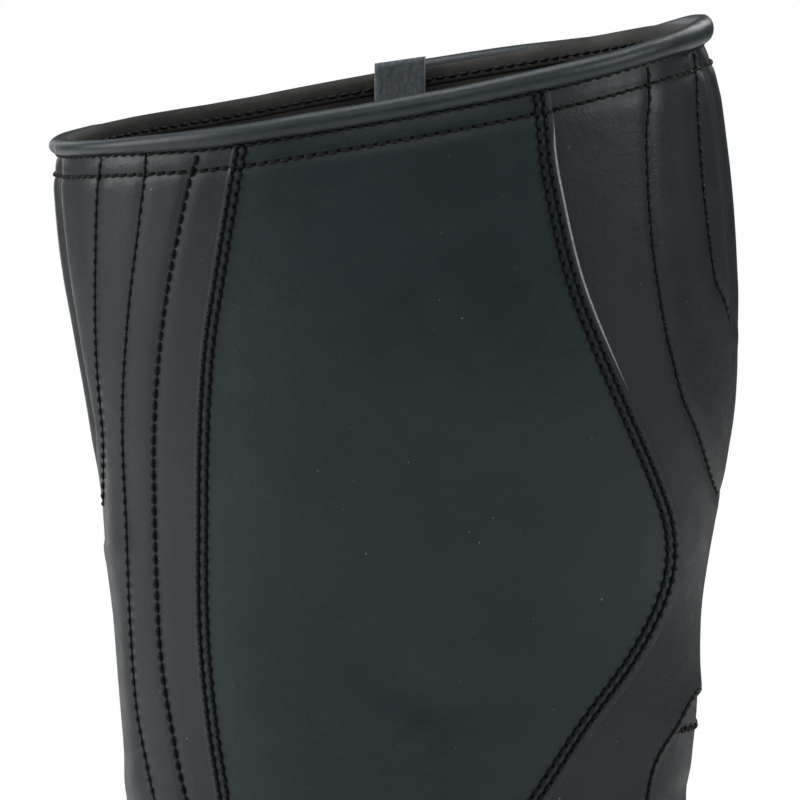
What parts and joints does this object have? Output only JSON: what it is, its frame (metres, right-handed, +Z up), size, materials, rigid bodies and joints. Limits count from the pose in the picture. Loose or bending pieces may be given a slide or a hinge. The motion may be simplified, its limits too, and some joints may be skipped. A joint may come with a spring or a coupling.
{
  "type": "biker boot",
  "caption": "Tall pull-on biker boot in smooth black leather, right foot, with lapped side panels, rolled collar, ribbed flex panel and lugged rubber sole.",
  "frame": {"origin": "on the ground under the middle of the heel block", "axes": "+X towards the toe, +Y towards the inner side of the foot, +Z up along the shaft"},
  "size_m": [0.3127, 0.1226, 0.3766],
  "materials": {
    "vamp_leather": "smooth semi-matt black leather",
    "panel_leather": "smooth semi-matt black leather",
    "side_leather": "smooth semi-matt blue-black leather",
    "piping_leather": "rolled soft black leather with a light sheen",
    "strap_suede": "grey flesh side",
    "lining_leather": "matt dark warm grey lining",
    "thread": "black waxed thread",
    "cut_edge": "grey raw cut edge of the side panels",
    "insole_fabric": "dark textile-faced board",
    "midsole_leather": "black stained edge with a dull polish",
    "sole_rubber": "matt black moulded rubber"
  },
  "bodies": {
    "root": {"upper": "vamp_leather", "shin_panel": "panel_leather", "back_panel": "panel_leather", "side_panel_lateral": "side_leather", "side_panel_medial": "side_leather", "flex_panel": "panel_leather", "collar_piping": "piping_leather", "pull_strap": "strap_suede", "insole": "insole_fabric", "midsole": "midsole_leather", "outsole": "sole_rubber", "heel": "sole_rubber"}
  },
  "joints": []
}
